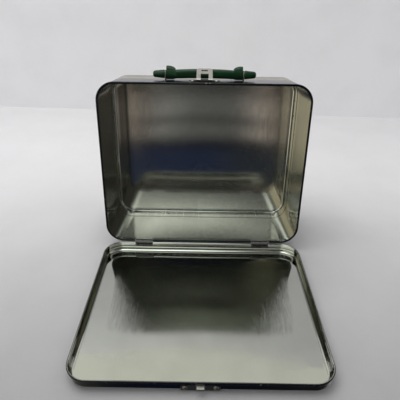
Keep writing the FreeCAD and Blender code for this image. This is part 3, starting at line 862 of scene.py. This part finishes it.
def grip_profile(grip):
    """All stations of half a handle: bar and guard, the guard's rounded edge, the neck and the knob."""
    neck_gap = 0.00005
    tip_radius = 0.00001
    edge_steps = 6
    bar, guard_outer = grip_stations(grip)
    ahead, inwards = rounded_end(grip.edge_round, edge_steps)
    edge = np.repeat(bar[-1:], edge_steps - 1, 0)
    edge[:, 0] += ahead[1:]
    edge[:, 1:4] += inwards[1:, None] * np.array([-1, 1, -1])
    knob_start = grip.loop_spacing / 2 + grip.loop_room
    knob_end = knob_start + grip.knob_length
    first_ahead, first_inwards = rounded_end(grip.knob_edge, 8)
    ahead, inwards = rounded_end(grip.knob_round, 14)
    first_x = knob_start + grip.knob_edge - first_ahead[::-1]
    last_x = knob_end - grip.knob_round + ahead
    knob_x = np.concatenate([first_x, last_x, [knob_end]])
    cone = grip.knob + (grip.knob_tip - grip.knob) * (knob_x - knob_start) / grip.knob_length
    knob_radius = cone - np.concatenate([first_inwards[::-1], inwards, [cone[-1] - tip_radius]])
    neck_x = np.array([guard_outer + neck_gap, knob_start - neck_gap])
    round_x = np.concatenate([neck_x, knob_x])
    radius = np.concatenate([np.full(2, grip.neck), knob_radius])
    circle = np.full(len(round_x), 2.0)
    rounds = np.stack([round_x, radius, -radius, radius, circle, np.zeros(len(round_x))], -1)
    return np.concatenate([bar, edge, rounds])


def build_handle(grip, looks):
    """Moulded grip as one loft.

    At each station the section is a superellipse between top and bottom: sideways
    depth * |cos|^(2/power), upwards |sin|^(2/power), narrowed towards its top by the taper.
    """
    sides = 64
    half = grip_profile(grip)
    mirrored = half[:0:-1] * np.array([-1, 1, 1, 1, 1, 1])
    x, top, bottom, depth, power, taper = np.concatenate([mirrored, half]).T[..., None]
    angle = np.linspace(0, 2 * math.pi, sides, endpoint=False)
    cosine, sine = np.cos(angle), np.sin(angle)
    up = np.sign(sine) * np.abs(sine) ** (2 / power)
    aside = np.sign(cosine) * np.abs(cosine) ** (2 / power)
    y = depth * aside * (1 - taper * (0.5 + 0.5 * up))
    z = (top + bottom) / 2 + (top - bottom) / 2 * up
    points = np.stack([np.broadcast_to(x, y.shape), y, z], -1)
    points = turned(points, -body_lean) + handle_place
    points = np.swapaxes(points, 0, 1)
    around = np.linspace(0, 1, sides + 1)[:, None]
    map_places = np.stack(np.broadcast_arrays(x.T, around), -1)
    piece = grid_piece("handle_grip", points, map_places, {}, False, 40)
    dress(piece, "handle", ["handle"], plastic_finish(looks))


def stage_material(name, tint, front):
    """Pale, faintly uneven matt surface, with painted shade a share darker towards the front."""
    finish = Finish(name)
    place = finish.coordinates()
    weave = finish.noise(place, 14.0, 5.0)
    # Painted shade: the colour darkens towards the front
    floor_painted_shade = (1 - finish.axis(place, "Y").rising(-0.30, 0.30)) * front
    base = finish.mix(weave.rising(0.3, 0.8) * 0.05 + floor_painted_shade, tint, (0, 0, 0))
    return finish.surface(base, 0.9, 0.0, 0.0, weave * 0.004, 0.35)


def stage_sheet(name, line, half_width, material, slant=0.0):
    """One quad: a line of two (y, z) points carried along X, with y falling by the slant times x."""
    x = np.array([-half_width, half_width])[:, None]
    points = np.stack(np.broadcast_arrays(x, line[:, 0] - slant * x, line[:, 1]), -1)
    mesh = bpy.data.meshes.new(name)
    mesh.from_pydata(points.reshape(-1, 3).tolist(), [], [(0, 2, 3, 1)])
    mesh.materials.append(material)
    sheet = linked(name, mesh)
    return sheet


def low_front(nodes, side, height):
    """The room in front at table height: a ramp across times a ramp upwards, with walls at both sides."""
    across = nodes.ramp(side * 2 + 0.5, [
        (0.10, 0.60), (0.145, 0.50), (0.16, 0.10), (0.20, 0.06), (0.24, 0.32),
        (0.30, 0.36), (0.37, 0.28), (0.42, 0.23), (0.50, 0.18), (0.685, 0.16),
        (0.72, 0.26), (0.76, 0.46), (0.80, 0.66), (0.83, 0.62), (0.85, 0.10)])
    upwards = nodes.ramp(height * 2 + 0.5, [
        (0.295, 0.0), (0.315, 0.5), (0.34, 1.0), (0.365, 0.95), (0.387, 0.45),
        (0.405, 0.45), (0.425, 1.0), (0.475, 1.0), (0.545, 0.35), (0.645, 0.30)])
    warm = nodes.mix(abs(side).rising(0.07, 0.17), (1.0, 1.0, 0.99), (1.18, 0.98, 0.86))
    below = nodes.mix(abs(side + 0.06).rising(0.08, 0.16), (0.022, 0.032, 0.075), (0.032, 0.038, 0.05))
    low = nodes.mix(height.rising(-0.13, -0.09), below, nodes.scaled(warm, across * upwards))
    left_wall = nodes.mix(height.rising(-0.20, -0.10), (0.36, 0.36, 0.26), (1.05, 0.95, 0.72))
    low = nodes.mix((0 - side).rising(0.212, 0.24), low, left_wall)
    low = nodes.mix(side.rising(0.205, 0.225), low, (0.09, 0.084, 0.072))
    return nodes.mix(abs(side).rising(0.75, 0.90), low, room_pale)


def window_light(nodes, side, height):
    """Two bright panes high in front: a ramp upwards times a ramp across, which falls to the right."""
    upwards = nodes.ramp(height, [
        (0.36, 0.05), (0.49, 0.12), (0.505, 0.18), (0.52, 0.32), (0.533, 0.50),
        (0.55, 1.0), (0.585, 1.0), (0.593, 0.50), (0.599, 0.05), (0.61, 0.01),
        (0.66, 0.0), (0.68, 0.75), (0.705, 0.75), (0.715, 0.0), (0.82, 0.0)])
    across = nodes.ramp(side * 0.5 + 0.5, [
        (0.375, 1.0), (0.44, 0.98), (0.50, 0.87), (0.57, 0.39), (0.65, 0.33)])
    return nodes.scaled((2.7, 2.8, 2.7), upwards * across)


def ceiling_light(nodes, side, height):
    """Ceiling that is bright at the left and dark at the right, with one dimmer band."""
    ceiling = nodes.mix(side.rising(-0.06, 0.17), (3.5, 3.77, 3.68), (0.20, 0.20, 0.19))
    dim_band = height.rising(0.875, 0.90) - height.rising(0.93, 0.95)
    return nodes.scaled(ceiling, 1 - dim_band * 0.4)


def room_light():
    """World: mirrored, a room in zones by direction; in all other light, an even pale grey."""
    world = bpy.data.worlds.new("room")
    bpy.context.scene.world = world
    world.use_nodes = True
    nodes = Nodes(world.node_tree)
    direction = nodes.coordinates("Generated")
    side, ahead, height = (nodes.axis(direction, name) for name in "XYZ")
    low = low_front(nodes, side, height)
    front = nodes.mix(height.rising(0.36, 0.48), low, window_light(nodes, side, height))
    front = nodes.mix(height.rising(0.82, 0.86), front, ceiling_light(nodes, side, height))
    behind = nodes.mix(side.rising(-0.5, 0.5), (1.02, 1.02, 0.93), (0.84, 0.86, 0.78))
    behind = nodes.mix(height.rising(-0.05, 0.05), room_pale, behind)
    room = nodes.mix(ahead.rising(-0.15, 0.15), front, behind)
    mirrored = nodes.add("ShaderNodeLightPath", None, None, "Is Glossy Ray")
    tint = nodes.mix(mirrored, (0.66, 0.66, 0.67), room)
    background = nodes.add("ShaderNodeBackground", None, {"Color": tint, "Strength": 1.0})
    nodes.add("ShaderNodeOutputWorld", None, {"Surface": background})


def build_camera(settings):
    """Camera at the photograph's place: pitch, yaw and roll from a level view along +Y."""
    frame_pixels = 400
    camera = bpy.data.cameras.new("view")
    camera.sensor_width = 36
    camera.lens = settings.focal_pixels * camera.sensor_width / frame_pixels
    camera.clip_start = 0.01
    eye = linked("view", camera)
    aim = Matrix.Rotation(settings.yaw, 4, "Z") @ Matrix.Rotation(math.pi / 2 - settings.pitch, 4, "X")
    roll = Matrix.Rotation(settings.roll, 4, "Z")
    eye.matrix_world = Matrix.Translation(settings.camera_place) @ aim @ roll
    bpy.context.scene.camera = eye


def build_lamp(settings):
    """Large soft lamp at the upper left, above the back."""
    lamp = bpy.data.lights.new("soft_lamp", "AREA")
    lamp.shape = "SQUARE"
    lamp.size = 1.2
    lamp.energy = settings.lamp_power
    holder = linked("soft_lamp", lamp)
    place = Matrix.Translation((-0.35, 0.40, 1.2))
    lean = Matrix.Rotation(math.radians(-22), 4, "Y")
    tilt = Matrix.Rotation(math.radians(-12), 4, "X")
    holder.matrix_world = place @ lean @ tilt
    holder.visible_glossy = False


def build_stage(settings):
    """Pale floor and wall, room light, lamp and camera."""
    painted_front_shade, reach, wall_height = 0.60, 1.6, 0.8
    pale = stage_material("pale_floor", settings.pale[:], painted_front_shade)
    wall = stage_material("pale_wall", settings.wall[:], 0.0)
    far = settings.wall_distance
    floor_line = np.array([(-reach, 0), (far + reach * settings.wall_slant, 0)])
    floor = stage_sheet("floor", floor_line, reach, pale)
    floor.visible_glossy = False
    wall_line = np.array([(far, 0), (far, wall_height)])
    stage_sheet("wall", wall_line, reach, wall, settings.wall_slant)
    room_light()
    build_lamp(settings)
    build_camera(settings)
    bpy.context.scene.view_settings.view_transform = "Standard"


class LUNCHBOX_OT_body(bpy.types.Operator):
    """Build the side band and the back panel"""

    bl_idname = "lunchbox.body"
    bl_label = "Body shells"

    def execute(self, context):
        build_side_band(context.scene.lunchbox_shell, context.scene.lunchbox_looks)
        build_back_panel(context.scene.lunchbox_shell, context.scene.lunchbox_looks)
        return {"FINISHED"}


class LUNCHBOX_OT_lid(bpy.types.Operator):
    """Build the lid"""

    bl_idname = "lunchbox.lid"
    bl_label = "Lid"

    def execute(self, context):
        build_lid(context.scene.lunchbox_shell, context.scene.lunchbox_looks)
        return {"FINISHED"}


class LUNCHBOX_OT_handle(bpy.types.Operator):
    """Build the moulded handle"""

    bl_idname = "lunchbox.handle"
    bl_label = "Handle"

    def execute(self, context):
        build_handle(context.scene.lunchbox_grip, context.scene.lunchbox_looks)
        return {"FINISHED"}


class LUNCHBOX_OT_fittings(bpy.types.Operator):
    """Give the metal fittings their finishes"""

    bl_idname = "lunchbox.fittings"
    bl_label = "Fittings"

    def execute(self, context):
        looks = context.scene.lunchbox_looks
        finishes = {"nickel_plate": nickel_finish(looks), "steel_wire": wire_finish(looks),
                    "painted_hinge": hinge_finish(looks), "bare_tin": backing_finish(looks)}
        for part in frame["record"]["subparts"]:
            if part["material_slot"] in finishes:
                mesh = frame["nodes"][part["node"]].data
                mesh.materials.clear()
                mesh.materials.append(finishes[part["material_slot"]])
        return {"FINISHED"}


class LUNCHBOX_OT_stage(bpy.types.Operator):
    """Set the floor, the wall, the light and the camera"""

    bl_idname = "lunchbox.stage"
    bl_label = "Stage"

    def execute(self, context):
        build_stage(context.scene.lunchbox_stage)
        return {"FINISHED"}


class LUNCHBOX_PT_pieces(bpy.types.Panel):
    """Lists the operators in the order in which they are used"""

    bl_label = "Lunch box"
    bl_space_type = "VIEW_3D"
    bl_region_type = "UI"
    bl_category = "Lunch box"

    def draw(self, context):
        for operator in operators:
            self.layout.operator(operator.bl_idname)


groups = {"lunchbox_shell": ShellSizes, "lunchbox_grip": GripSizes, "lunchbox_looks": Finishes,
          "lunchbox_stage": StageSettings}
operators = [LUNCHBOX_OT_body, LUNCHBOX_OT_lid, LUNCHBOX_OT_handle, LUNCHBOX_OT_fittings, LUNCHBOX_OT_stage]


def register():
    for name, group in groups.items():
        bpy.utils.register_class(group)
        setattr(bpy.types.Scene, name, PointerProperty(type=group))
    for kind in operators + [LUNCHBOX_PT_pieces]:
        bpy.utils.register_class(kind)


def unregister():
    for kind in [LUNCHBOX_PT_pieces] + operators[::-1]:
        bpy.utils.unregister_class(kind)
    for name, group in groups.items():
        delattr(bpy.types.Scene, name)
        bpy.utils.unregister_class(group)


def main():
    """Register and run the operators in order."""
    register()
    for name in ("body", "lid", "handle", "fittings", "stage"):
        getattr(bpy.ops.lunchbox, name)()


if __name__ == "__main__":
    main()
